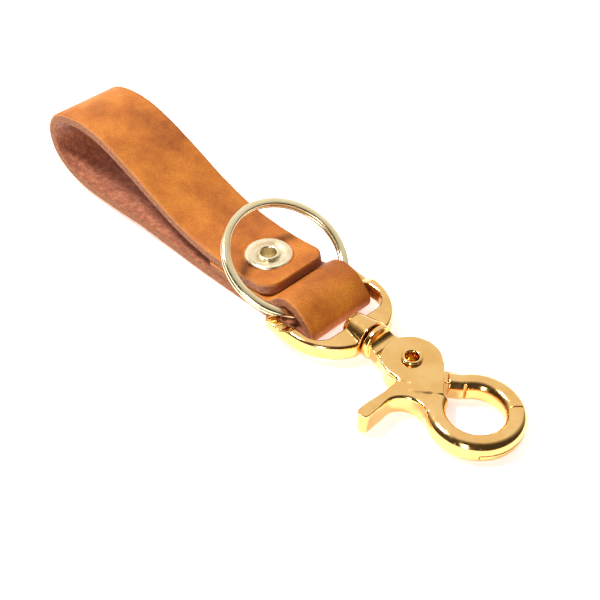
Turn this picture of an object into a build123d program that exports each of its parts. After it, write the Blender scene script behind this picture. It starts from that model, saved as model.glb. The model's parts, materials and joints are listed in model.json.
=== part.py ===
from build123d import *
import os
from math import cos, sin, radians, sqrt

# Leather key chain: one strap folded into a wrist loop, a split ring, and a swivel trigger snap.
# Millimetres, +Z up. The origin is on the table, straight below the grommet's axis.
# +X runs along the strap toward the snap, and Y runs across the strap.

# ---------------------------------------------------------------- driving sizes
strap_width = 19.05          # three-quarter inch strap
leather = 2.6                # thickness of the leather
layer_gap = 0.1              # air between two layers that the grommet clamps
flap_end = 10.2              # X of the cut end of the top layer
tongue_end = -11.0           # X of the cut end of the middle layer
flap_corner = 4.0            # round of the flap's two corners
tongue_corner = 1.5          # round of the tongue's two corners

loop_length = 70.6           # from the grommet to the far bend of the loop, at mid-leather
loop_height = 21.0           # height of the loop, at mid-leather
nose_x = 21.2                # front fold: X where the leather leaves the table
nose_bend = 1.6              # radius of that bend, at mid-leather
nose_sweep = 128.0           # how far it turns there before it slopes back
lie_x = 5.0                  # X where the tongue lies flat between the other two layers

grommet_bore = 3.7           # clear hole through the grommet
grommet_wall = 0.45          # sheet brass of the grommet
rolled_lip = 1.05            # width of the barrel's rolled end, over the washer
flange_radius = 5.8          # outside of the flange and of the washer
flange_height = 0.9          # how high the flange and the washer stand
seat_depth = 0.75            # how far the clamped leather is pressed down round them
fit = 0.05                   # running clearance, radial
seat_gap = 0.04              # gap between pieces that sit on each other

ring_radius = 14.4           # split ring, to the middle of its wire
wire_radial = 1.9            # flattened wire of the ring, across the ring
wire_axial = 1.0             # flattened wire of the ring, along the ring's axis
coil_gap = 0.06              # between the ring's two turns
step_at, step_half = 115.0, 14.0    # degrees round the ring: middle and half length of the wire's step
end_gap = 3.0                # degrees between the wire's end and the step
ring_tilt = 29.0             # rise of the ring's plane toward the loop
ring_hinge = (17.3, 4.75)    # X and Z of the line that the ring rocks about in the tunnel
ring_room = 0.35             # how far the leather is pressed back round the ring
ring_side = -0.5             # Y of the ring's middle

bar_x, bar_y, axis_z = 13.9, -0.4, 5.35    # swivel axis where it passes over the yoke's bar
snap_yaw = -2.0              # the snap lies a little askew in the strap
snap_pitch = 2.8             # and slopes down until its eye rests on the table

bar_radius = 1.1             # yoke bar in the leather tunnel
bar_drop = 1.56              # bar below the swivel axis
tail_round = 1.16            # arms behind the bar, round about it
yoke_inside = 22.0           # clear width between the yoke's arms
arm_width = 2.6
arm_top, arm_under = 1.2, -3.0    # heights of the arms from the swivel axis
tail_top = -0.45             # top of the arms at the bar
window_length = 14.5         # from the bar to the inner face of the yoke's boss
boss_radius = 4.3            # front end of the yoke's boss
boss_back_radius = 3.1       # its end at the window, behind which the stud's head shows
boss_length = 5.8
yoke_front_half = 5.0        # half width of the yoke's flat front
yoke_bend_at = 7.7           # from the bar to where the arms start to close in
low_to = 4.8                 # from the bar to where the arms start to rise
arm_round = 0.9              # round of the arms' edges

stud_radius = 1.7            # swivel stud
stud_head_radius = 3.1
stud_head_height = 1.5
swivel_gap = 0.4             # between the yoke's front and the collar
stud_depth = 6.5             # how deep the stud sits in the hook body
stud_tail = 4.9              # length of the thinner end of the stud
stud_tail_radius = 1.1

collar_radius = 4.2
collar_length = 1.9
notch_radius = 2.3           # scoop across the top of the neck
pivot_at = 31.9              # swivel axis: from the bar to the trigger's pivot
eye_at = 50.3                # swivel axis: from the bar to the middle of the hook's eye
head_radius = 6.7            # round head plate of the trigger
body_head_radius = 6.2       # round head of the body, under the plate
cheek_length, cheek_width = 7.0, 9.2    # flat web from the head plate to the trigger's jaw
head_top = 2.95              # heights from the swivel axis
plate_under = 1.65
body_top = 1.5
body_under = -3.25
jaw_half_height = 2.72       # jaws: half the height of their section
jaw_width = 4.6
eye_radius = 8.42            # to the middle of the jaws
jaw_step = 0.08              # gap between the two halves of the lapped tip
tip_angle = 52.0             # round the eye: the trigger's tip meets the body's jaw
notch_angle = -44.0          # round the eye: the body's tongue meets the trigger's jaw
shoulder_turn = 40.5         # direction from the pivot to the shoulder's face
shoulder_face = 8.1          # from the pivot to the shoulder's face beside the trigger's head
shoulder_side = -4.0         # how far the shoulder stands back from the line through the pivot
shoulder_length = 3.2        # how far the shoulder runs on from its face
bridge_length, bridge_width = 7.0, 3.4    # web from the body's head to the shoulder
shoulder_angle = 150.0       # round the eye: the body's jaw leaves the shoulder
root_angle = 198.0           # round the eye: the trigger's jaw leaves the head
lever_root_side, lever_tip_side = 3.2, 3.7    # middle of the lever beyond the pivot, at root and tip
lever_reach = 19.4           # from the pivot to the tip of the thumb lever
lever_thickness = 2.9

rivet_radius = 1.9           # tubular pivot rivet
rivet_bore = 1.35
rivet_lip = 2.4              # rolled end of the rivet
rivet_lip_height = 0.75
rivet_head_height = 0.5
spring_wire = 0.6
spring_radius = 3.5          # to the middle of the spring's wire
spring_turns = 2.75
pocket_depth = 2.5           # annular pocket for the spring

half_width = strap_width / 2
bore_radius = grommet_bore / 2
barrel_radius = bore_radius + grommet_wall
stack_top = 3 * leather + 2 * layer_gap


def save(part, name):
    """Write one sub-part to its own STEP file."""
    os.makedirs("parts", exist_ok=True)
    part.label = name
    export_step(part, "parts/" + name + ".step")


# ---------------------------------------------------------------- leather strap
def strap_runs():
    """Middle of the leather in side view: over the loop, along the table, round the nose, and back."""
    low = leather / 2
    middle = low + leather + layer_gap
    high = middle + leather + layer_gap
    over = Spline(
        (flap_end, high + 1.1), (4.5, high + 0.3), (-1.6, high), (-7.8, high + 0.15),
        (-14.6, high + 0.95), (-21.0, high + 2.5), (-33.0, high + 7.2), (-44.6, loop_height - 2.4),
        (-56.6, loop_height), (-63.0, loop_height - 0.7), (-68.0, loop_height - 3.0),
        (-loop_length, loop_height - 7.8), (-69.6, 8.2), (-65.4, 4.6), (-59.7, 2.9),
        (-47.0, low + 1.0), (-34.4, low + 1.2), (-21.2, low + 0.4), (-8.8, low), (2.0, low),
        tangents=((-1, -0.16), (1, 0)))
    flat = Line((2.0, low), (nose_x, low))
    turn = CenterArc((nose_x, low + nose_bend), nose_bend, -90, nose_sweep)
    leave = radians(nose_sweep)
    back = Spline(
        turn @ 1, (nose_x - 0.9, 6.2), (18.7, 7.45), (16.6, 8.1), (14.9, 8.1), (12.9, 7.05), (10.3, 4.7),
        (lie_x, middle),
        tangents=((cos(leave), sin(leave)), (-1, 0)))
    lie = Line((lie_x, middle), (tongue_end, middle))
    return over, flat, turn, back, lie


def beside(line, distance, steps):
    """A smooth line at a distance from a curve."""
    points = []
    for step in range(steps + 1):
        place = line @ (step / steps)
        along = line % (step / steps)
        points.append((place.X - along.Y * distance, place.Y + along.X * distance))
    return Spline(*points)


def strap_side(distance):
    """One face of the leather in side view, at a distance from the middle of the leather."""
    over, flat, turn, back, lie = strap_runs()
    up, down = (0, distance), (0, -distance)
    return [
        beside(over, distance, 60), Line(flat @ 0 + up, flat @ 1 + up),
        CenterArc((nose_x, leather / 2 + nose_bend), nose_bend - distance, -90, nose_sweep),
        beside(back, distance, 24), Line(lie @ 0 + down, lie @ 1 + down)]


def make_strap():
    outer = strap_side(-leather / 2)
    inner = strap_side(leather / 2)
    ends = [Line(outer[-1] @ 1, inner[-1] @ 1), Line(inner[0] @ 0, outer[0] @ 0)]
    side_view = Plane.XZ * make_face(outer + inner + ends)
    strap = extrude(side_view, half_width, both=True)
    # round corners of the flap and of the tongue
    over_middle = 2 * leather + 1.5 * layer_gap
    corners = ((flap_end, flap_corner, 1, over_middle + 0.5, over_middle + 2 * leather),
               (tongue_end, tongue_corner, -1, leather + layer_gap / 2, over_middle))
    for end, corner, way, low, high in corners:
        for side in (1, -1):
            square = Pos(end - way * corner / 2, side * (half_width - corner / 2)) * Rectangle(
                corner, corner)
            square -= Pos(end - way * corner, side * (half_width - corner)) * Circle(corner)
            square = Pos(0.3 * way, 0.3 * side) * square
            strap -= extrude(Pos(0, 0, low) * square, high - low, dir=(0, 0, 1))
    # hole for the grommet's barrel, and the leather pressed down round its two flanges
    strap -= extrude(Circle(barrel_radius + fit), stack_top + 3, both=True)
    strap -= extrude(Circle(flange_radius + fit), seat_depth)
    strap -= extrude(Pos(0, 0, stack_top - seat_depth / 3) * Circle(flange_radius + fit), 2 * leather)
    # leather pressed back where the ring passes through the tunnel
    room = Plane.XZ * Pos(ring_radius, 0) * RectangleRounded(
        wire_radial + 2 * ring_room, 2 * wire_axial + coil_gap + 2 * ring_room, 0.8)
    strap -= ring_frame().location * revolve(room, Axis.Z, 360)
    return strap


# ---------------------------------------------------------------- grommet
def make_eyelet():
    """Flange under the strap, barrel through it, and the barrel's end rolled over the washer."""
    top = stack_top - seat_depth / 3 + flange_height
    with BuildPart() as eyelet:
        with BuildSketch(Plane.XZ):
            with BuildLine():
                Line((bore_radius, 0.0), (bore_radius, top - 0.3))
                ThreePointArc((bore_radius, top - 0.3), (bore_radius + rolled_lip / 2, top + 0.15),
                              (bore_radius + rolled_lip, top - 0.3))
                Polyline((bore_radius + rolled_lip, top - 0.3), (bore_radius + rolled_lip - 0.25, top - 0.45),
                         (barrel_radius, top - 0.5), (barrel_radius, seat_depth - seat_gap),
                         (flange_radius - 0.2, seat_depth - seat_gap))
                ThreePointArc((flange_radius - 0.2, seat_depth - seat_gap),
                              (flange_radius - 0.02, 0.5), (flange_radius - 0.25, 0.3))
                Polyline((flange_radius - 0.25, 0.3), (bore_radius + 0.8, 0.0), (bore_radius, 0.0))
            make_face()
        revolve(axis=Axis.Z)
    return eyelet.part


def make_washer():
    """Dished washer on top of the strap, with a rounded rim and a groove round the rolled barrel."""
    low = stack_top - seat_depth / 3 + seat_gap
    hole = barrel_radius + fit
    with BuildPart() as washer:
        with BuildSketch(Plane.XZ):
            with BuildLine():
                Polyline((hole, low), (hole, low + 0.3), (hole + 0.95, low + 0.3))
                Spline((hole + 0.95, low + 0.3), (hole + 1.9, low + 0.72), (flange_radius - 0.9, low + 0.62),
                       (flange_radius - 0.35, low + 0.6), (flange_radius, low + 0.12))
                Line((flange_radius, low + 0.12), (flange_radius - 0.15, low))
                Line((flange_radius - 0.15, low), (hole, low))
            make_face()
        revolve(axis=Axis.Z)
    return washer.part


# ---------------------------------------------------------------- split ring
def ring_frame():
    """Plane of the ring: its X points up the slope to the loop, its Z is the ring's axis."""
    rise = radians(ring_tilt)
    chord = sqrt(ring_radius ** 2 - half_width ** 2)
    sag = ring_radius - chord
    reach = chord + sag / 2
    middle = (ring_hinge[0] - reach * cos(rise), ring_side, ring_hinge[1] + reach * sin(rise))
    return Plane(origin=middle, x_dir=(-cos(rise), 0, sin(rise)), z_dir=(sin(rise), 0, cos(rise)))


def wire_section(angle, height):
    """The wire's section where it stands at an angle round the ring."""
    return Plane(origin=(ring_radius * cos(radians(angle)), ring_radius * sin(radians(angle)), height),
                 x_dir=(cos(radians(angle)), sin(radians(angle)), 0),
                 z_dir=(-sin(radians(angle)), cos(radians(angle)), 0)) * RectangleRounded(
        wire_radial, wire_axial, wire_axial * 0.42)


def make_ring():
    """Two turns of flattened wire; the wire steps from the lower turn to the upper one."""
    pitch = wire_axial + coil_gap
    before, after = step_at - step_half, step_at + step_half
    turn = 360 - 2 * step_half - end_gap
    lower = revolve(wire_section(before, -pitch / 2), Axis.Z, -turn)
    upper = revolve(wire_section(after, pitch / 2), Axis.Z, turn)
    stages = 6
    sections = []
    for stage in range(stages + 1):
        way = stage / stages
        rise = way * way * (3 - 2 * way) - 0.5
        sections.append(wire_section(before + 2 * step_half * way, pitch * rise))
    coil = lower + loft(sections) + upper
    return ring_frame().location * coil


# ---------------------------------------------------------------- trigger snap
def snap_place(part):
    """From the snap's own frame (X along the swivel axis, origin over the bar) to the key chain's."""
    return Pos(bar_x, bar_y, axis_z) * Rot(0, 0, snap_yaw) * Rot(0, snap_pitch, 0) * part


def make_yoke():
    """Yoke: a bar through the leather, two arms, and a boss that the swivel stud turns in."""
    inside = yoke_inside / 2
    outside = inside + arm_width
    front = window_length + boss_length
    tail = -bar_radius - 0.3
    bend = inside - 6.8
    half = [
        Line((tail, inside), (window_length - bend, inside)),
        TangentArc((window_length - bend, inside), (window_length, inside - bend), tangent=(1, 0)),
        Line((window_length, inside - bend), (window_length, 0)), Line((window_length, 0), (front, 0)),
        Line((front, 0), (front, yoke_front_half)),
        TangentArc((yoke_bend_at, outside), (front, yoke_front_half), tangent=(1, 0)),
        Line((yoke_bend_at, outside), (tail + arm_width - 0.3, outside)),
        TangentArc((tail + arm_width - 0.3, outside), (tail, inside + 0.3), tangent=(-1, 0)),
        Line((tail, inside + 0.3), (tail, inside))]
    plan = make_face(Wire(half))
    plan += mirror(plan, about=Plane.XZ)
    frame = extrude(Pos(0, 0, arm_under) * plan, arm_top - arm_under)
    frame = fillet(frame.faces().filter_by(Axis.Z).edges(), arm_round)
    along = Rot(0, 90, 0)
    from_inside = (Align.CENTER, Align.CENTER, Align.MIN)
    frame += Pos(window_length, 0, 0) * along * Cone(
        boss_back_radius, boss_radius, boss_length, align=from_inside)
    frame += Pos(0, 0, -bar_drop) * Rot(90, 0, 0) * Cylinder(bar_radius, 2 * inside + 1.0)
    frame -= Pos(window_length - 1, 0, 0) * along * Cylinder(
        stud_radius + fit, boss_length + 2, align=from_inside)
    # the arms are lower at the bar, where the ring passes over them
    above = make_face(Polyline((tail - 1, tail_top), (low_to, tail_top), (yoke_bend_at, arm_top),
                               (yoke_bend_at, arm_top + 1), (tail - 1, arm_top + 1), close=True))
    frame -= extrude(Plane.XZ * above, 2 * outside, both=True)
    # behind the bar they are round about it, so they swing clear of the ring
    behind = Pos(2 * tail, -bar_drop) * Rectangle(-4 * tail, 8 * bar_drop)
    behind -= Pos(0, -bar_drop) * Circle(tail_round)
    frame -= extrude(Plane.XZ * behind, 2 * outside, both=True)
    return snap_place(frame)


def make_stud():
    """Headed swivel stud: its round head is inside the yoke, and its shank is pressed in the body."""
    length = boss_length + swivel_gap + stud_depth
    from_end = (Align.CENTER, Align.CENTER, Align.MIN)
    head = Pos(0, 0, -stud_head_height) * Cylinder(
        stud_head_radius, stud_head_height - seat_gap, align=from_end)
    head = fillet(head.edges().sort_by(Axis.Z)[0], 1.2)
    shank = Pos(0, 0, -stud_head_height / 2) * Cylinder(
        stud_radius, length - stud_tail + stud_head_height / 2, align=from_end)
    end = Pos(0, 0, stud_head_height) * Cylinder(
        stud_tail_radius, length - stud_head_height, align=from_end)
    return snap_place(Pos(window_length, 0, 0) * Rot(0, 90, 0) * (head + shank + end))


def jaw_section(low, high):
    """Rounded section of a jaw between two heights, drawn in the plane of the eye's radius."""
    whole = RectangleRounded(jaw_width, 2 * jaw_half_height, jaw_width / 2 - 0.25)
    return whole & (Pos(0, (low + high) / 2) * Rectangle(2 * jaw_width, high - low))


def jaw(first, last, low=-jaw_half_height, high=jaw_half_height):
    """Arc of a jaw round the eye, from one angle to another."""
    section = Plane.XZ * (Pos(eye_radius, 0) * jaw_section(low, high))
    return Pos(eye_at, 0, 0) * Rot(0, 0, first) * revolve(section, Axis.Z, last - first)


def shoulder_frame():
    """Plane on the pivot whose X points straight at the shoulder's face."""
    turn = radians(shoulder_turn)
    return Plane(origin=(pivot_at, 0, 0), z_dir=(0, 0, 1), x_dir=(cos(turn), sin(turn), 0))


def make_hook_body():
    collar_at = window_length + boss_length + swivel_gap
    neck_at = collar_at + collar_length
    low, high = body_under, body_top
    head = extrude(Pos(pivot_at, 0, low) * Circle(body_head_radius), high - low)
    head = fillet(head.edges().group_by(Axis.Z)[0], 1.0)
    collar = Pos(collar_at, 0, 0) * Rot(0, 90, 0) * Cylinder(
        collar_radius, collar_length, align=(Align.CENTER, Align.CENTER, Align.MIN))
    collar = fillet(collar.edges(), 0.7)
    neck = loft([
        Plane.YZ.offset(neck_at - 0.3) * RectangleRounded(2 * collar_radius - 2.2, 5.6, 1.4),
        Plane.YZ.offset(pivot_at - 2.5) * Pos(0, (low + high) / 2) * RectangleRounded(
            2 * body_head_radius - 2.2, high - low - 0.3, 1.4)])
    notch = Pos(neck_at + 1.9, 0, head_top + 0.6) * Rot(90, 0, 0) * Cylinder(notch_radius, 3 * collar_radius)
    # shoulder that stands beside the trigger's head and carries the fixed jaw
    edge = shoulder_frame()
    face = Plane(origin=(edge * Pos(shoulder_face, shoulder_side, 0)).position,
                 x_dir=edge.y_dir, z_dir=edge.x_dir)
    shoulder = extrude(face * jaw_section(-jaw_half_height, jaw_half_height), shoulder_length)
    bridge = Pos(body_head_radius, shoulder_side + 1.0, low + 0.3) * Rectangle(bridge_length, bridge_width)
    bridge = extrude(edge * bridge, high - low - 0.3)
    far_jaw = jaw(tip_angle, shoulder_angle)
    tongue = jaw(notch_angle + 0.6, tip_angle + 2, high=-jaw_step / 2)
    body = head + collar + neck - notch + bridge + shoulder + far_jaw + tongue
    # pocket for the spring
    body -= Pos(pivot_at, 0, low) * extrude(Circle(spring_radius + spring_wire / 2 + 0.35)
                                            - Circle(spring_radius - spring_wire / 2 - 0.35),
                                            high - low).moved(Pos(0, 0, high - low - pocket_depth))
    body -= extrude(Pos(pivot_at, 0, low - 1) * Circle(rivet_radius + fit), high - low + 2)
    body -= extrude(Pos(pivot_at, 0, low - 1) * Circle(rivet_lip + 0.2), 1 + rivet_head_height)
    body -= Pos(collar_at - 1, 0, 0) * Rot(0, 90, 0) * Cylinder(
        stud_radius, stud_depth - stud_tail + 1 + seat_gap, align=(Align.CENTER, Align.CENTER, Align.MIN))
    body -= Pos(collar_at, 0, 0) * Rot(0, 90, 0) * Cylinder(
        stud_tail_radius, stud_depth + seat_gap, align=(Align.CENTER, Align.CENTER, Align.MIN))
    body -= Pos(pivot_at, 0, body_top) * Cylinder(
        head_radius + 0.35, 4, align=(Align.CENTER, Align.CENTER, Align.MIN))
    return snap_place(body)


def lever_outline():
    """Thumb lever in plan, seen from the pivot: it leaves the head and ends in a round tip."""
    half = lever_thickness / 2
    root, tip = lever_root_side, lever_tip_side
    with BuildSketch() as plan:
        with BuildLine():
            Line((root - half, -4.0), (tip - half, -lever_reach + half))
            ThreePointArc((tip - half, -lever_reach + half), (tip, -lever_reach),
                          (tip + half, -lever_reach + half))
            Line((tip + half, -lever_reach + half), (root + half + 0.1, -11.5))
            ThreePointArc((root + half + 0.1, -11.5), (7.0, -8.4), (12.0, -8.3))
            Line((12.0, -8.3), (11.2, -3.0))
            Line((11.2, -3.0), (root - half, -4.0))
        make_face()
    return plan.sketch


def make_trigger():
    low, high = -jaw_half_height, jaw_half_height - 0.3
    plate = Pos(pivot_at, 0, plate_under) * extrude(Circle(head_radius), head_top - plate_under)
    edge = shoulder_frame()
    cheek = Pos(cheek_length / 2, -cheek_width / 2, plate_under) * Rectangle(cheek_length, cheek_width)
    cheek = extrude(edge * cheek, head_top - plate_under)
    lever = extrude(Pos(pivot_at, 0, low) * lever_outline(), high - low)
    near_jaw = jaw(root_angle, 360 + notch_angle)
    lap = jaw(360 + notch_angle - 2, 360 + tip_angle - 0.6, low=jaw_step / 2)
    trigger = plate + cheek + lever + near_jaw + lap
    # room for the body's head, which the trigger turns round
    room = extrude(Pos(pivot_at, 0, -5) * Circle(body_head_radius + 0.3), 5 + plate_under)
    trigger -= room
    clear = extrude(edge * Pos(6.8, 4.0, -5) * Rectangle(9.0, 14.0), 5 + plate_under)
    trigger -= clear
    trigger -= extrude(Pos(pivot_at, 0, plate_under - 1) * Circle(rivet_radius + fit), 4)
    return snap_place(trigger)


def make_rivet():
    """Tubular rivet: flat head below, and its open end rolled outward on the trigger's plate."""
    low = body_under + rivet_head_height - seat_gap
    top = head_top + seat_gap
    with BuildPart() as rivet:
        with BuildSketch(Plane.XZ):
            with BuildLine():
                Polyline((0, body_under), (rivet_lip, body_under), (rivet_lip, low), (rivet_radius, low),
                         (rivet_radius, top), (rivet_lip - 0.1, top))
                ThreePointArc((rivet_lip - 0.1, top), (rivet_lip - 0.35, top + rivet_lip_height * 0.62),
                              (rivet_bore + 0.35, top + rivet_lip_height))
                ThreePointArc((rivet_bore + 0.35, top + rivet_lip_height),
                              (rivet_bore + 0.1, top + rivet_lip_height - 0.1), (rivet_bore, top + 0.3))
                Polyline((rivet_bore, top + 0.3), (rivet_bore, 0.0), (0, -0.4), (0, body_under))
            make_face()
        revolve(axis=Axis.Z)
    return snap_place(Pos(pivot_at, 0, 0) * rivet.part)


def make_spring():
    """Torsion spring in the body's pocket, with its two ends turned in along the pocket."""
    pitch = (pocket_depth - 2 * spring_wire) / spring_turns
    bottom = body_top - pocket_depth + spring_wire / 2 + 0.1
    coil = Helix(pitch=pitch, height=pitch * spring_turns, radius=spring_radius)
    section = Plane(origin=coil @ 0, z_dir=coil % 0) * Circle(spring_wire / 2)
    spring = sweep(section, path=coil, is_frenet=True)
    return snap_place(Pos(pivot_at, 0, bottom) * spring)


save(make_strap(), "leather_strap")
save(make_eyelet(), "grommet_eyelet")
save(make_washer(), "grommet_washer")
save(make_ring(), "split_ring")
save(make_yoke(), "snap_yoke")
save(make_stud(), "swivel_stud")
save(make_hook_body(), "hook_body")
save(make_trigger(), "trigger")
save(make_rivet(), "pivot_rivet")
save(make_spring(), "torsion_spring")
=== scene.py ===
import bmesh
import bpy
import json
import numpy as np
from math import cos, pi, radians, sin, sqrt
from mathutils import Matrix, Vector, noise


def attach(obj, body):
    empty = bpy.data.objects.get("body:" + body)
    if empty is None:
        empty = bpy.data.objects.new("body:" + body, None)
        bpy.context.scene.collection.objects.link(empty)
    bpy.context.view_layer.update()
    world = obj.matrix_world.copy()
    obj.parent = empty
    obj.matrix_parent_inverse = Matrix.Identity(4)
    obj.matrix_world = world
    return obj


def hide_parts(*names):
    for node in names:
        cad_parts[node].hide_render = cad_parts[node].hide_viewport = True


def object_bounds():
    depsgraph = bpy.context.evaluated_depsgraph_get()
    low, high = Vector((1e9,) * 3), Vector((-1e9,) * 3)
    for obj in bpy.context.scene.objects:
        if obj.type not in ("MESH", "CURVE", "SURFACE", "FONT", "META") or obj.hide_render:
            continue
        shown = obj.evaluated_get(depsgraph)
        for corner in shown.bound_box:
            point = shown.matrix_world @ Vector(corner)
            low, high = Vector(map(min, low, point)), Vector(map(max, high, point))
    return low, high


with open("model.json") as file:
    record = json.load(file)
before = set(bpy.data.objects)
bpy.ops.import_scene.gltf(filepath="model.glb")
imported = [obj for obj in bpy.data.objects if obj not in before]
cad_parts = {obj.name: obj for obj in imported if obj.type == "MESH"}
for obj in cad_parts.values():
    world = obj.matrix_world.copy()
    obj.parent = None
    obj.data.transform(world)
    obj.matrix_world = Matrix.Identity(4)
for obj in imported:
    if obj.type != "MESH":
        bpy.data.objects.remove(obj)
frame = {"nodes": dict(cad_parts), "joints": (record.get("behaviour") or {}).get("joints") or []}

cad_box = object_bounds()
joints = {joint["name"]: joint for joint in frame["joints"]}

# Sizes are in millimetres here; every mesh is scaled to metres as it is made.
MM = 0.001
STRAP_HALF = 9.525               # half of the three-quarter inch strap
LEATHER = 2.6
GAP = 0.1                        # air between clamped layers
FLAP_END, TONGUE_END = 10.2, -11.0
STACK_TOP = 3 * LEATHER + 2 * GAP
SEAT_TOP = STACK_TOP - 0.25      # leather under the washer
SEAT_UNDER = 0.75                # leather over the eyelet's flange
FLANGE = 5.8                     # outside radius of flange and washer
BORE = 1.85                      # clear radius through the grommet
BARREL = 2.3                     # outside radius of the grommet's barrel
RING_RADIUS = 14.4
WIRE_RADIAL, WIRE_AXIAL, COIL_GAP = 1.9, 1.0, 0.06
RING_TILT = 29.0
RING_HINGE = (17.3, -0.5, 4.75)
WINDOW, BOSS = 14.5, 5.8         # along the swivel axis: yoke's window, then its boss
PIVOT_AT = 31.9                  # from the bar to the trigger's pivot
SWIVEL_GAP = 0.4                 # between the yoke's front and the collar
STUD_DEPTH, STUD_TAIL = 6.5, 4.9             # stud in the hook body: all of it, and its thinner end
FLAP_CORNER, TONGUE_CORNER = 4.0, 1.5        # round corners at the strap's two ends
LOOP_LENGTH, LOOP_HEIGHT = 70.6, 21.0        # big loop, at mid-leather
NOSE_X, NOSE_BEND, NOSE_SWEEP = 21.2, 1.6, 128   # front fold: start, radius and turn
LIE_X = 5.0                      # where the tongue lies flat between the other two layers
GRAIN_ROUND, FLESH_ROUND = 0.42, 0.22        # rounds of the strap's cut edges
RING_ROOM = 0.35                 # how far the leather is pressed back round the ring
PLATE_TOP = 2.99                 # top of the trigger's plate, up from the swivel axis
VOXEL = 0.15                     # cells that a casting is skinned with


# ---------------------------------------------------------------- finishes
def start_finish(name):
    """A material with its node tree and its shader."""
    finish = bpy.data.materials.new(name)
    finish.use_nodes = True
    return finish, finish.node_tree, finish.node_tree.nodes["Principled BSDF"]


def node(tree, kind, links=(), **values):
    """Add a node, set its properties or unlinked inputs, and link others into it."""
    made = tree.nodes.new(kind)
    for name, value in values.items():
        socket = name.replace("_", " ").title()
        if hasattr(made, name):
            setattr(made, name, value)
        else:
            made.inputs[socket].default_value = value
    for name, source in dict(links).items():
        tree.links.new(source, made.inputs[name])
    return made


def mottle(tree, place, scale, detail=4.0, roughness=0.55):
    """Cloudy noise at so many patches to the metre."""
    return node(tree, "ShaderNodeTexNoise", {"Vector": place}, scale=scale, detail=detail,
                roughness=roughness).outputs["Fac"]


def shades(tree, amount, *stops):
    """Colours along a ramp."""
    ramp = node(tree, "ShaderNodeValToRGB", {"Fac": amount})
    while len(ramp.color_ramp.elements) < len(stops):
        ramp.color_ramp.elements.new(0.5)
    for element, (position, colour) in zip(ramp.color_ramp.elements, stops):
        element.position = position
        element.color = (*colour, 1)
    return ramp.outputs["Color"]


def spread(tree, amount, low, high, start=0.0, end=1.0):
    """An amount from start to end, carried over to a range from low to high."""
    made = node(tree, "ShaderNodeMapRange", {"Value": amount})
    for name, value in (("From Min", start), ("From Max", end), ("To Min", low), ("To Max", high)):
        made.inputs[name].default_value = value
    return made.outputs["Result"]


def blend_colour(tree, factor, first, second, mode="MIX"):
    made = tree.nodes.new("ShaderNodeMix")
    made.data_type, made.blend_type = "RGBA", mode
    for socket, value in ((made.inputs[0], factor), (made.inputs[6], first), (made.inputs[7], second)):
        if isinstance(value, (int, float)):
            socket.default_value = value
        elif isinstance(value, tuple):
            socket.default_value = (*value, 1)
        else:
            tree.links.new(value, socket)
    return made.outputs[2]


def bumps(tree, height, depth_mm, strength=1.0, under=None):
    """A bump of a real depth; under is another bump's normal below it."""
    links = {"Height": height}
    if under:
        links["Normal"] = under
    return node(tree, "ShaderNodeBump", links, distance=depth_mm * MM, strength=strength).outputs["Normal"]


def brass(name, bright, deep, polish, pits):
    """Polished metal: faint clouding, small pits and fine rubbing marks."""
    finish, tree, shader = start_finish(name)
    place = node(tree, "ShaderNodeTexCoord").outputs["Object"]
    cloud = mottle(tree, place, 160, 5)
    tree.links.new(shades(tree, cloud, (0.35, deep), (0.62, bright)), shader.inputs["Base Color"])
    tree.links.new(spread(tree, mottle(tree, place, 900, 6), polish * 0.6, polish * 1.6, 0.3, 0.7),
                   shader.inputs["Roughness"])
    shader.inputs["Metallic"].default_value = 1.0
    soft = bumps(tree, mottle(tree, place, 260, 2), 0.02, 0.10)
    pit = node(tree, "ShaderNodeTexVoronoi", {"Vector": place}, scale=1500).outputs["Distance"]
    rare = spread(tree, mottle(tree, place, 500, 2), 0.0, 1.0, 0.52, 0.6)
    deep_pit = node(tree, "ShaderNodeMath", operation="MULTIPLY")
    tree.links.new(spread(tree, pit, 1.0, 0.0, 0.0, 0.22), deep_pit.inputs[0])
    tree.links.new(rare, deep_pit.inputs[1])
    lowered = spread(tree, deep_pit.outputs[0], 1.0, 0.0)
    tree.links.new(bumps(tree, lowered, 0.03, pits, soft), shader.inputs["Normal"])
    return finish


def grain_leather():
    """Waxed cognac grain: cloudy darker patches, fine pores, faint creases."""
    finish, tree, shader = start_finish("cognac leather grain")
    place = node(tree, "ShaderNodeTexCoord").outputs["Object"]
    cloud = mottle(tree, place, 85, 5, 0.6)
    base = shades(tree, cloud, (0.30, (0.28, 0.069, 0.009)), (0.48, (0.46, 0.136, 0.016)),
                  (0.70, (0.62, 0.220, 0.028)))
    speckle = shades(tree, mottle(tree, place, 2600, 3), (0.35, (0.78, 0.72, 0.66)),
                     (0.6, (1.0, 1.0, 1.0)))
    colour = blend_colour(tree, 1.0, base, speckle, "MULTIPLY")
    tree.links.new(colour, shader.inputs["Base Color"])
    tree.links.new(spread(tree, mottle(tree, place, 300, 4), 0.46, 0.62, 0.3, 0.7),
                   shader.inputs["Roughness"])
    shader.inputs["Specular IOR Level"].default_value = 0.25
    pores = node(tree, "ShaderNodeTexVoronoi", {"Vector": place}, scale=2300).outputs["Distance"]
    crease = bumps(tree, mottle(tree, place, 600, 6, 0.65), 0.10, 0.5)
    tree.links.new(bumps(tree, spread(tree, pores, 0.0, 1.0, 0.05, 0.4), 0.03, 0.4, crease),
                   shader.inputs["Normal"])
    return finish


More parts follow.
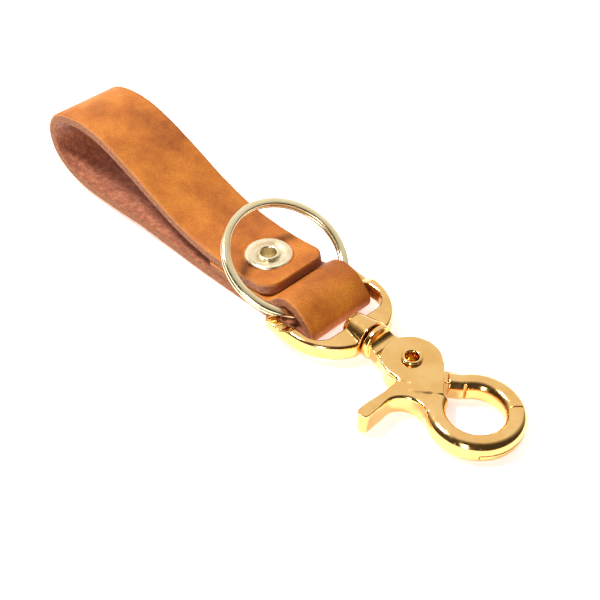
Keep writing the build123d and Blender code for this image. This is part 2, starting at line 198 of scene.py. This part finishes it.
def flesh_leather():
    """The unlined inside: dark reddish nap."""
    finish, tree, shader = start_finish("leather flesh side nap")
    place = node(tree, "ShaderNodeTexCoord").outputs["Object"]
    colour = shades(tree, mottle(tree, place, 700, 8, 0.7), (0.32, (0.17, 0.040, 0.015)),
                    (0.52, (0.38, 0.110, 0.042)), (0.72, (0.58, 0.25, 0.12)))
    tree.links.new(colour, shader.inputs["Base Color"])
    shader.inputs["Roughness"].default_value = 0.95
    shader.inputs["Sheen Weight"].default_value = 0.3
    tree.links.new(bumps(tree, mottle(tree, place, 2400, 8, 0.75), 0.3, 0.9), shader.inputs["Normal"])
    return finish


def cut_edge_leather():
    """Cut edge: light bevel by the grain, darker fibres that run along the strap."""
    finish, tree, shader = start_finish("leather cut edge")
    lay = node(tree, "ShaderNodeUVMap", uv_map="strap").outputs["UV"]
    along = node(tree, "ShaderNodeMapping", {"Vector": lay})
    along.inputs["Scale"].default_value = (0.55, 7.0, 1.0)
    fibres = node(tree, "ShaderNodeTexNoise", {"Vector": along.outputs["Vector"]}, scale=1.6, detail=8.0,
                  roughness=0.72).outputs["Fac"]
    core = shades(tree, fibres, (0.34, (0.085, 0.024, 0.009)), (0.50, (0.26, 0.078, 0.024)),
                  (0.66, (0.55, 0.24, 0.09)))
    across = node(tree, "ShaderNodeSeparateXYZ", {"Vector": lay}).outputs["Y"]
    bevel = spread(tree, across, 0.0, 1.0, 0.72, 0.92)
    tree.links.new(blend_colour(tree, bevel, core, (0.58, 0.25, 0.075)), shader.inputs["Base Color"])
    shader.inputs["Roughness"].default_value = 0.75
    tree.links.new(bumps(tree, fibres, 0.25, 0.8), shader.inputs["Normal"])
    return finish


snap_brass = brass("polished brass snap", (0.90, 0.57, 0.22), (0.82, 0.48, 0.155), 0.13, 0.9)
ring_brass = brass("pale brass wire", (0.90, 0.78, 0.50), (0.84, 0.70, 0.42), 0.16, 0.25)
grommet_brass = brass("pale brass sheet", (0.97, 0.87, 0.64), (0.93, 0.81, 0.56), 0.30, 0.2)
grain, flesh, cut_edge = grain_leather(), flesh_leather(), cut_edge_leather()


# ---------------------------------------------------------------- making pieces
def make_object(name, mesh, *finishes):
    made = bpy.data.objects.new(name, mesh)
    bpy.context.scene.collection.objects.link(made)
    for finish in finishes:
        mesh.materials.append(finish)
    return made


def settle(made, body, slot, *nodes):
    """The finished piece rides on its body and stands for its CAD nodes."""
    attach(made, body)
    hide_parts(*nodes)


def bake_modifiers(made):
    """Turn a piece and its modifiers into a plain mesh."""
    bpy.context.view_layer.update()
    evaluated = made.evaluated_get(bpy.context.evaluated_depsgraph_get())
    mesh = bpy.data.meshes.new_from_object(evaluated)
    made.modifiers.clear()
    made.data = mesh
    return made


def smooth_by_angle(mesh, degrees):
    """Smooth shading, with sharp edges kept where faces meet at more than an angle."""
    shape = bmesh.new()
    shape.from_mesh(mesh)
    for face in shape.faces:
        face.smooth = True
    for edge in shape.edges:
        edge.smooth = len(edge.link_faces) != 2 or edge.calc_face_angle(0) < radians(degrees)
    shape.to_mesh(mesh)
    shape.free()


def snap_place():
    """From the snap's own frame (X along the swivel axis, origin over the bar) to the key chain's."""
    swivel, pivot = joints["snap_swivel"], joints["trigger_hinge"]
    x = Vector(swivel["axis"]).normalized()
    z = -Vector(pivot["axis"]).normalized()
    y = z.cross(x).normalized()
    place = Matrix((x, y, z)).transposed().to_4x4()
    place.translation = Vector(swivel["pos_m"])
    return place @ Matrix.Scale(MM, 4)


def turned(name, outline, place, finish, steps=96, close_axis=True):
    """A turned piece: an outline of (radius, height) points spun round Z."""
    shape = bmesh.new()
    rows = []
    for radius, height in outline:
        if radius < 1e-6:
            rows.append([shape.verts.new((0, 0, height))])
        else:
            turns = [2 * pi * k / steps for k in range(steps)]
            rows.append([shape.verts.new((radius * cos(turn), radius * sin(turn), height))
                         for turn in turns])
    if not close_axis:
        rows.append(rows[0])
    for low, high in zip(rows, rows[1:]):
        for k in range(steps):
            n = (k + 1) % steps
            ring = [low[k % len(low)], low[n % len(low)], high[n % len(high)], high[k % len(high)]]
            corners = list(dict.fromkeys(ring))
            if len(corners) > 2:
                shape.faces.new(corners)
    bmesh.ops.recalc_face_normals(shape, faces=shape.faces)
    mesh = bpy.data.meshes.new(name)
    shape.to_mesh(mesh)
    shape.free()
    mesh.transform(place)
    smooth_by_angle(mesh, 50)
    return make_object(name, mesh, finish)


def arc(centre, radius, start, end, steps):
    """Points on an arc of an outline."""
    turns = [radians(start + (end - start) * k / steps) for k in range(steps + 1)]
    return [(centre[0] + radius * cos(turn), centre[1] + radius * sin(turn)) for turn in turns]


# ---------------------------------------------------------------- leather strap
def smooth_line(points, first, last, step):
    """Points and directions along a smooth curve with given end directions."""
    points = np.array(points, float)
    knots = np.concatenate([[0], np.cumsum(np.hypot(*np.diff(points, axis=0).T))])
    count, gaps = len(points), np.diff(knots)
    rule, want = np.zeros((count, count)), np.zeros((count, 2))
    rule[0, 0] = rule[-1, -1] = 1
    want[0], want[-1] = np.array(first) / np.hypot(*first), np.array(last) / np.hypot(*last)
    for k in range(1, count - 1):
        before, after = gaps[k - 1], gaps[k]
        rule[k, k - 1:k + 2] = after, 2 * (before + after), before
        want[k] = 3 * (after * (points[k] - points[k - 1]) / before
                       + before * (points[k + 1] - points[k]) / after)
    slopes = np.linalg.solve(rule, want)
    at = np.linspace(0, knots[-1], max(int(knots[-1] / step), 2) + 1)
    index = np.clip(np.searchsorted(knots, at, side="right") - 1, 0, count - 2)
    gap = gaps[index][:, None]
    t = ((at - knots[index]) / gaps[index])[:, None]
    p0, p1, m0, m1 = points[index], points[index + 1], slopes[index] * gap, slopes[index + 1] * gap
    return ((2 * t ** 3 - 3 * t ** 2 + 1) * p0 + (t ** 3 - 2 * t ** 2 + t) * m0
            + (3 * t ** 2 - 2 * t ** 3) * p1 + (t ** 3 - t ** 2) * m1)


def strap_line():
    """Middle of the leather in side view: over the loop, along the table, round the nose, and back."""
    low = LEATHER / 2
    middle = low + LEATHER + GAP
    high = middle + LEATHER + GAP
    over = smooth_line([
        (FLAP_END, high + 1.1), (4.5, high + 0.3), (-1.6, high), (-7.8, high + 0.15),
        (-14.6, high + 0.95), (-21.0, high + 2.5), (-33.0, high + 7.2), (-44.6, LOOP_HEIGHT - 2.4),
        (-56.6, LOOP_HEIGHT), (-63.0, LOOP_HEIGHT - 0.7), (-68.0, LOOP_HEIGHT - 3.0),
        (-LOOP_LENGTH, LOOP_HEIGHT - 7.8), (-69.6, 8.2), (-65.4, 4.6), (-59.7, 2.9),
        (-47.0, low + 1.0), (-34.4, low + 1.2), (-21.2, low + 0.4), (-8.8, low), (2.0, low)],
        (-1, -0.16), (1, 0), 0.45)
    flat = np.linspace((2.0, low), (NOSE_X, low), 44)
    turn = np.array(arc((NOSE_X, low + NOSE_BEND), NOSE_BEND, -90, -90 + NOSE_SWEEP, 26))
    leave = radians(NOSE_SWEEP)
    back = smooth_line([
        tuple(turn[-1]), (NOSE_X - 0.9, 6.2), (18.7, 7.45), (16.6, 8.1), (14.9, 8.1), (12.9, 7.05),
        (10.3, 4.7), (LIE_X, middle)], (cos(leave), sin(leave)), (-1, 0), 0.4)
    lie = np.linspace((LIE_X, middle), (TONGUE_END, middle), 40)
    return np.vstack([over, flat[1:], turn[1:], back[1:], lie[1:]])


def corner_inset(distance, corner):
    """How far a rounded corner pulls the side in, at a distance from the strap's end."""
    inside = np.clip(corner - distance, 0, corner)
    return corner - np.sqrt(np.maximum(corner ** 2 - inside ** 2, 0))


def make_strap():
    line = strap_line()
    runs = np.concatenate([[0], np.cumsum(np.hypot(*np.diff(line, axis=0).T))])
    length = runs[-1]
    # close stations at the two ends, where the corners are rounded
    near_end = 4.2 * (1 - np.cos(np.linspace(0, pi / 2, 22)))
    stations = np.unique(np.concatenate([near_end, runs[(runs > 4.3) & (runs < length - 2.2)],
                                         length - 2.0 * (1 - np.cos(np.linspace(0, pi / 2, 12)))]))
    x, z = np.interp(stations, runs, line[:, 0]), np.interp(stations, runs, line[:, 1])
    ahead, behind = np.clip(stations + 0.05, 0, length), np.clip(stations - 0.05, 0, length)
    dx = np.interp(ahead, runs, line[:, 0]) - np.interp(behind, runs, line[:, 0])
    dz = np.interp(ahead, runs, line[:, 1]) - np.interp(behind, runs, line[:, 1])
    size = np.hypot(dx, dz)
    out_x, out_z = dz / size, -dx / size
    half = LEATHER / 2
    faces_across, ring = 30, []
    # one turn round the section: the part of the skin, its side or place across, and the share along it
    for k in range(faces_across + 1):
        ring.append(("grain", -1 + 2 * k / faces_across, 0))
    for k in range(1, 5):
        ring.append(("grain corner", 1, k / 5))
    for k in range(7):
        ring.append(("edge", 1, k / 6))
    for k in range(1, 4):
        ring.append(("flesh corner", 1, k / 4))
    for k in range(faces_across + 1):
        ring.append(("flesh", 1 - 2 * k / faces_across, 0))
    for k in range(1, 4):
        ring.append(("flesh corner", -1, 1 - k / 4))
    for k in range(7):
        ring.append(("edge", -1, 1 - k / 6))
    for k in range(1, 5):
        ring.append(("grain corner", -1, 1 - k / 5))
    verts, lays = [], []
    for n, along in enumerate(stations):
        from_end, to_end = along, length - along
        reach = STRAP_HALF - corner_inset(from_end, FLAP_CORNER) - corner_inset(to_end, TONGUE_CORNER)
        thin = min(corner_inset(from_end, 0.3), 0.3) + min(corner_inset(to_end, 0.3), 0.3)
        for part, side, share in ring:
            if part == "grain":
                y, up = side * (reach - GRAIN_ROUND), half - thin
            elif part == "flesh":
                y, up = side * (reach - FLESH_ROUND), thin - half
            elif part == "grain corner":
                turn = share * pi / 2
                y = side * (reach - GRAIN_ROUND + GRAIN_ROUND * sin(turn))
                up = half - thin - GRAIN_ROUND + GRAIN_ROUND * cos(turn)
            elif part == "flesh corner":
                turn = share * pi / 2
                y = side * (reach - FLESH_ROUND + FLESH_ROUND * cos(turn))
                up = thin - half + FLESH_ROUND - FLESH_ROUND * sin(turn)
            else:
                y = side * reach
                up = (half - thin - GRAIN_ROUND) * (1 - share) + (thin - half + FLESH_ROUND) * share
            if part not in ("grain", "flesh"):
                # fibres and a slightly uneven knife cut
                wave = noise.noise(Vector((along * 0.22, side * 7, up * 0.4)))
                fibre = noise.noise(Vector((along * 1.3, side * 11, up * 3.1)))
                y -= side * (0.05 + 0.07 * wave + 0.05 * fibre)
            verts.append(Vector((x[n] + out_x[n] * up, y, z[n] + out_z[n] * up)))
            lays.append((along, (up + half) / LEATHER))
    # leather pressed down under the washer and over the flange, and puffed a little round them
    for k, vert in enumerate(verts):
        away = sqrt(vert.x ** 2 + vert.y ** 2)
        if vert.z > 2 * (LEATHER + GAP) + LEATHER / 2 and vert.x < FLAP_END + 1:
            press = min(max((away - FLANGE - 0.05) / 0.7, 0), 1)
            press = press * press * (3 - 2 * press)
            puff = 0.10 * np.exp(-((away - FLANGE - 1.0) / 0.7) ** 2)
            vert.z = min(vert.z, SEAT_TOP) * (1 - press) + (vert.z + puff) * press
        elif vert.z < LEATHER / 2 and away < FLANGE + 0.05:
            vert.z = max(vert.z, SEAT_UNDER)
    across = len(ring)
    faces, parts = [], []
    for n in range(len(stations) - 1):
        for k in range(across):
            m = (k + 1) % across
            faces.append((n * across + k, n * across + m, (n + 1) * across + m, (n + 1) * across + k))
            first, second = ring[k][0], ring[m][0]
            flat_part = first if first == second else (first if "corner" not in first else second)
            parts.append(0 if flat_part in ("grain", "grain corner") and "edge" not in (first, second)
                         else 1 if flat_part == "flesh" else 2)
    last = (len(stations) - 1) * across
    faces += [tuple(reversed(range(across))), tuple(range(last, last + across))]
    parts += [2, 2]
    mesh = bpy.data.meshes.new("strap")
    mesh.from_pydata([vert * MM for vert in verts], [], faces)
    laid = mesh.uv_layers.new(name="strap")
    for loop in mesh.loops:
        laid.data[loop.index].uv = lays[loop.vertex_index]
    strap = make_object("strap", mesh, grain, flesh, cut_edge)
    for face, part in zip(mesh.polygons, parts):
        face.material_index = part
        face.use_smooth = True
    shape = bmesh.new()
    shape.from_mesh(mesh)
    bmesh.ops.recalc_face_normals(shape, faces=shape.faces)
    shape.to_mesh(mesh)
    shape.free()
    return strap


def cut_out(made, *cutters):
    """Cut solids out of a piece and remove them."""
    for cutter in cutters:
        cut = made.modifiers.new("cut", "BOOLEAN")
        cut.operation, cut.solver, cut.object = "DIFFERENCE", "EXACT", cutter
    bake_modifiers(made)
    for cutter in cutters:
        bpy.data.objects.remove(cutter)


strap = make_strap()
punch = turned("punch", [(0, -1), (BARREL + 0.05, -1), (BARREL + 0.05, 12), (0, 12)],
               Matrix.Scale(MM, 4), cut_edge)


# ---------------------------------------------------------------- split ring
def ring_place():
    """From the ring's own flat frame to its lean in the front fold."""
    rise = radians(RING_TILT)
    chord = sqrt(RING_RADIUS ** 2 - STRAP_HALF ** 2)
    reach = chord + (RING_RADIUS - chord) / 2
    place = Matrix(((-cos(rise), 0, sin(rise)), (0, -1, 0), (sin(rise), 0, cos(rise)))).to_4x4()
    place.translation = Vector((RING_HINGE[0] - reach * cos(rise), RING_HINGE[1],
                                RING_HINGE[2] + reach * sin(rise))) * MM
    return place


def ring_wire_tree():
    """Two turns of flattened wire with a step between them, as a node tree with named sizes."""
    tree = bpy.data.node_groups.new("split ring wire", "GeometryNodeTree")
    for name, value in (("Radius", RING_RADIUS), ("Wire Radial", WIRE_RADIAL), ("Wire Axial", WIRE_AXIAL),
                        ("Edge Round", 0.4), ("Pitch", WIRE_AXIAL + COIL_GAP), ("Turns", 1.9),
                        ("Step Start", 0.48), ("Step End", 0.52)):
        socket = tree.interface.new_socket(name=name, in_out="INPUT", socket_type="NodeSocketFloat")
        socket.default_value = value
    tree.interface.new_socket(name="Finish", in_out="INPUT", socket_type="NodeSocketMaterial")
    tree.interface.new_socket(name="Wire", in_out="OUTPUT", socket_type="NodeSocketGeometry")
    sizes = tree.nodes.new("NodeGroupInput").outputs
    spiral = node(tree, "GeometryNodeCurveSpiral", {
        "Rotations": sizes["Turns"], "Start Radius": sizes["Radius"], "End Radius": sizes["Radius"]})
    spiral.inputs["Resolution"].default_value = 110
    spiral.inputs["Height"].default_value = 0
    along = tree.nodes.new("GeometryNodeSplineParameter").outputs["Factor"]
    climb = node(tree, "ShaderNodeMapRange", {
        "Value": along, "From Min": sizes["Step Start"], "From Max": sizes["Step End"]},
        interpolation_type="SMOOTHSTEP")
    climb.inputs["To Min"].default_value, climb.inputs["To Max"].default_value = -0.5, 0.5
    lift = node(tree, "ShaderNodeMath", operation="MULTIPLY")
    tree.links.new(climb.outputs["Result"], lift.inputs[0])
    tree.links.new(sizes["Pitch"], lift.inputs[1])
    offset = node(tree, "ShaderNodeCombineXYZ", {"Z": lift.outputs[0]})
    raised = node(tree, "GeometryNodeSetPosition", {"Geometry": spiral.outputs["Curve"],
                                                    "Offset": offset.outputs["Vector"]})
    upright = node(tree, "GeometryNodeSetCurveNormal", {"Curve": raised.outputs["Geometry"]}, mode="Z_UP")
    section = node(tree, "GeometryNodeCurvePrimitiveQuadrilateral", {
        "Width": sizes["Wire Radial"], "Height": sizes["Wire Axial"]})
    rounded = node(tree, "GeometryNodeFilletCurve", {"Curve": section.outputs["Curve"],
                                                     "Radius": sizes["Edge Round"]})
    rounded.mode = "POLY"
    rounded.inputs["Count"].default_value = 5
    sweep = node(tree, "GeometryNodeCurveToMesh", {"Curve": upright.outputs["Curve"],
                                                   "Profile Curve": rounded.outputs["Curve"]})
    sweep.inputs["Fill Caps"].default_value = True
    real = node(tree, "GeometryNodeRealizeInstances", {"Geometry": sweep.outputs["Mesh"]})
    dressed = node(tree, "GeometryNodeSetMaterial", {"Geometry": real.outputs["Geometry"],
                                                     "Material": sizes["Finish"]})
    tree.links.new(dressed.outputs["Geometry"], tree.nodes.new("NodeGroupOutput").inputs["Wire"])
    return tree


def grow(name, tree, values, place):
    """A piece made by a node tree, as a plain mesh in its place."""
    made = make_object(name, bpy.data.meshes.new(name))
    maker = made.modifiers.new(name, "NODES")
    maker.node_group = tree
    for item in tree.interface.items_tree:
        if item.in_out == "INPUT" and item.name in values:
            maker[item.identifier] = values[item.name]
    bake_modifiers(made)
    made.data.transform(place)
    shape = bmesh.new()
    shape.from_mesh(made.data)
    bmesh.ops.remove_doubles(shape, verts=shape.verts, dist=1e-7)
    bmesh.ops.recalc_face_normals(shape, faces=shape.faces)
    shape.to_mesh(made.data)
    shape.free()
    smooth_by_angle(made.data, 45)
    return made


# degrees round the ring: the step's two ends, the wire's start, and all that it turns through
STEP_FROM, STEP_TO, LOWER_START, WHOLE_TURN = 101.0, 129.0, -228.0, 686.0
wire = ring_wire_tree()
ring = grow("split_ring_wire", wire, {
    "Radius": RING_RADIUS, "Wire Radial": WIRE_RADIAL, "Wire Axial": WIRE_AXIAL, "Edge Round": 0.49,
    "Pitch": WIRE_AXIAL + COIL_GAP, "Turns": WHOLE_TURN / 360,
    "Step Start": (STEP_FROM - LOWER_START) / WHOLE_TURN, "Step End": (STEP_TO - LOWER_START) / WHOLE_TURN,
    "Finish": ring_brass},
    ring_place() @ Matrix.Scale(MM, 4) @ Matrix.Rotation(radians(LOWER_START), 4, "Z"))
settle(ring, "ring", "ring_brass", "split_ring")

ring_groove = grow("ring_groove", wire, {
    "Radius": RING_RADIUS, "Wire Radial": WIRE_RADIAL + 2 * RING_ROOM,
    "Wire Axial": 2 * WIRE_AXIAL + COIL_GAP + 2 * RING_ROOM,
    "Edge Round": 0.8, "Pitch": 0.0, "Turns": 0.4, "Step Start": 0.0, "Step End": 1.0,
    "Finish": flesh}, ring_place() @ Matrix.Scale(MM, 4) @ Matrix.Rotation(radians(180 - 72), 4, "Z"))
cut_out(strap, punch, ring_groove)
settle(strap, "strap", "strap_leather", "leather_strap")


# ---------------------------------------------------------------- grommet
def make_grommet():
    lip_top = SEAT_TOP + 0.9
    eyelet = turned("eyelet", [
        (BORE, 0.30), *arc((BORE + 0.5, lip_top - 0.42), 0.5, 180, 20, 14),
        (BORE + 0.92, lip_top - 0.52),
        (BARREL, lip_top - 0.55), (BARREL, SEAT_UNDER - 0.04), (FLANGE - 0.25, SEAT_UNDER - 0.04),
        *arc((FLANGE - 0.26, 0.52), 0.24, 70, -60, 8), (BORE + 1.3, 0.03), (BORE + 0.5, 0.06)],
        Matrix.Scale(MM, 4), grommet_brass, close_axis=False)
    low = SEAT_TOP + 0.04
    hole = BARREL + 0.05
    washer = turned("washer", [
        (hole, low), (hole, low + 0.28), (hole + 0.25, low + 0.30), (hole + 0.85, low + 0.30),
        (hole + 1.25, low + 0.42), (hole + 1.7, low + 0.60), (hole + 2.1, low + 0.68),
        (hole + 2.45, low + 0.68),
        (FLANGE - 0.55, low + 0.64), (FLANGE - 0.28, low + 0.52), (FLANGE - 0.08, low + 0.30),
        (FLANGE, low + 0.10), (FLANGE - 0.12, low)],
        Matrix.Scale(MM, 4), grommet_brass, close_axis=False)
    settle(eyelet, "strap", "grommet_brass", "grommet_eyelet")
    settle(washer, "strap", "grommet_brass", "grommet_washer")


make_grommet()


# ---------------------------------------------------------------- trigger snap
def cast_piece(name, cad_node, body, rounds, soften=None):
    """A casting: the CAD shape, with every corner rounded over as a polished casting's are."""
    mesh = frame["nodes"][cad_node].data.copy()
    mesh.materials.clear()
    shape = bmesh.new()
    shape.from_mesh(mesh)
    bmesh.ops.remove_doubles(shape, verts=shape.verts, dist=2e-7)
    shape.to_mesh(mesh)
    shape.free()
    made = make_object(name, mesh)
    skin = made.modifiers.new("skin", "REMESH")
    skin.mode, skin.voxel_size, skin.adaptivity = "VOXEL", VOXEL * MM, 0.0
    skin.use_smooth_shade = True
    bake_modifiers(made)
    polish = made.modifiers.new("polish", "SMOOTH")
    polish.factor, polish.iterations = 0.5, rounds
    if soften:
        centre, inner, outer, extra = soften
        near = made.vertex_groups.new(name="cast fillet")
        for vert in made.data.vertices:
            away = (vert.co - centre).length / MM
            share = min(max((outer - away) / (outer - inner), 0), 1)
            if share > 0:
                near.add([vert.index], share, "REPLACE")
        fillet = made.modifiers.new("fillet", "SMOOTH")
        fillet.factor, fillet.iterations, fillet.vertex_group = 0.5, extra, "cast fillet"
    bake_modifiers(made)
    made.vertex_groups.clear()
    made.data.materials.append(snap_brass)
    settle(made, body, "snap_brass", cad_node)
    return made


place = snap_place()
cast_piece("yoke_casting", "snap_yoke", "yoke", 36)
cast_piece("hook_casting", "hook_body", "hook", 4)
lever_root = place @ Vector((PIVOT_AT + 4.2, -7.4, 2.0))
cast_piece("trigger_casting", "trigger", "trigger", 5, (lever_root, 4.0, 8.0, 200))


def make_stud():
    """Swivel stud: domed head inside the yoke, shank through its boss."""
    end = BOSS + SWIVEL_GAP + STUD_DEPTH
    return turned("swivel_stud_turned", [
        (0, -1.5), (0.9, -1.44), (1.7, -1.22), (2.35, -0.95), (2.8, -0.62), (3.05, -0.36), (3.08, -0.2),
        (2.95, -0.06), (1.7, -0.04), (1.7, end - STUD_TAIL), (1.1, end - STUD_TAIL), (1.1, end),
        (0, end)],
        place @ Matrix.Translation((WINDOW, 0, 0)) @ Matrix.Rotation(pi / 2, 4, "Y"), snap_brass)


def make_rivet():
    """Tubular rivet: rolled end on the trigger's plate, blind bore, flat head below."""
    top = PLATE_TOP
    return turned("pivot_rivet_turned", [
        (0, -3.25), (2.3, -3.25), (2.4, -3.15), (2.4, -2.79), (1.9, -2.79), (1.9, top), (2.28, top),
        *arc((1.92, top + 0.30), 0.45, -30, 180, 12)[1:-1], (1.42, top - 0.1), (1.35, top - 0.5),
        (1.35, 0.2), (0.9, -0.1), (0, -0.3)],
        place @ Matrix.Translation((PIVOT_AT, 0, 0)), snap_brass)


settle(make_stud(), "hook", "snap_brass", "swivel_stud")
settle(make_rivet(), "hook", "snap_brass", "pivot_rivet")
spring = frame["nodes"]["torsion_spring"]
spring.data.materials.clear()
spring.data.materials.append(brass("spring steel wire", (0.62, 0.62, 0.62), (0.45, 0.45, 0.46), 0.3, 0.2))


# ---------------------------------------------------------------- table, light and camera
def make_table():
    mesh = bpy.data.meshes.new("table")
    reach, level = 6.0, cad_box[0][2] - 0.00005
    mesh.from_pydata([(-reach, -reach, level), (reach, -reach, level), (reach, reach, level),
                      (-reach, reach, level)], [], [(0, 1, 2, 3)])
    table = make_object("table", mesh)
    finish, tree, shader = start_finish("pale table")
    shader.inputs["Base Color"].default_value = (0.93, 0.93, 0.93, 1)
    shader.inputs["Roughness"].default_value = 0.7
    shader.inputs["Emission Color"].default_value = (1, 1, 1, 1)
    shader.inputs["Emission Strength"].default_value = 0.55
    mesh.materials.append(finish)


def soft_light(name, position, target, size, power):
    lamp = bpy.data.lights.new(name, "AREA")
    lamp.shape, lamp.size, lamp.size_y = "RECTANGLE", size[0], size[1]
    lamp.energy = power
    made = bpy.data.objects.new(name, lamp)
    made.location = position
    made.rotation_euler = (Vector(target) - Vector(position)).to_track_quat("-Z", "Y").to_euler()
    bpy.context.scene.collection.objects.link(made)


def make_studio():
    world = bpy.data.worlds.new("studio")
    world.use_nodes = True
    tree = world.node_tree
    # a bright wall behind the object, a dim room overhead and behind the camera
    toward = node(tree, "ShaderNodeTexCoord").outputs["Generated"]
    wall = node(tree, "ShaderNodeVectorMath", operation="DOT_PRODUCT")
    tree.links.new(toward, wall.inputs[0])
    wall.inputs[1].default_value = Vector((-0.56, 0.56, 0.61)).normalized()
    glow = shades(tree, wall.outputs["Value"], (0.26, (0.07, 0.055, 0.04)), (0.54, (0.36, 0.33, 0.28)),
                  (0.72, (1.0, 0.98, 0.95)))
    tree.links.new(glow, tree.nodes["Background"].inputs["Color"])
    tree.nodes["Background"].inputs["Strength"].default_value = 1.0
    bpy.context.scene.world = world
    soft_light("main softbox", (-0.30, -0.22, 0.70), (0, 0, 0), (0.16, 0.16), 8)
    soft_light("fill softbox", (0.30, -0.55, 0.25), (0.02, 0, 0), (0.12, 0.5), 1.6)
    bpy.context.scene.view_settings.view_transform = "Standard"


def make_camera():
    azimuth, elevation = radians(45.23), radians(41.30)
    back = Vector((sin(azimuth) * cos(elevation), -cos(azimuth) * cos(elevation), sin(elevation)))
    right = Vector((cos(azimuth), sin(azimuth), 0))
    up = back.cross(right)
    lens = bpy.data.cameras.new("camera")
    lens.lens, lens.sensor_width, lens.clip_start = 72.84, 36, 0.01
    camera = bpy.data.objects.new("camera", lens)
    camera.matrix_world = Matrix((right, up, back)).transposed().to_4x4()
    camera.location = (right * 7.346 - up * 4.731 + back * 288.6) * MM
    bpy.context.scene.collection.objects.link(camera)
    bpy.context.scene.camera = camera


make_table()
make_studio()
make_camera()
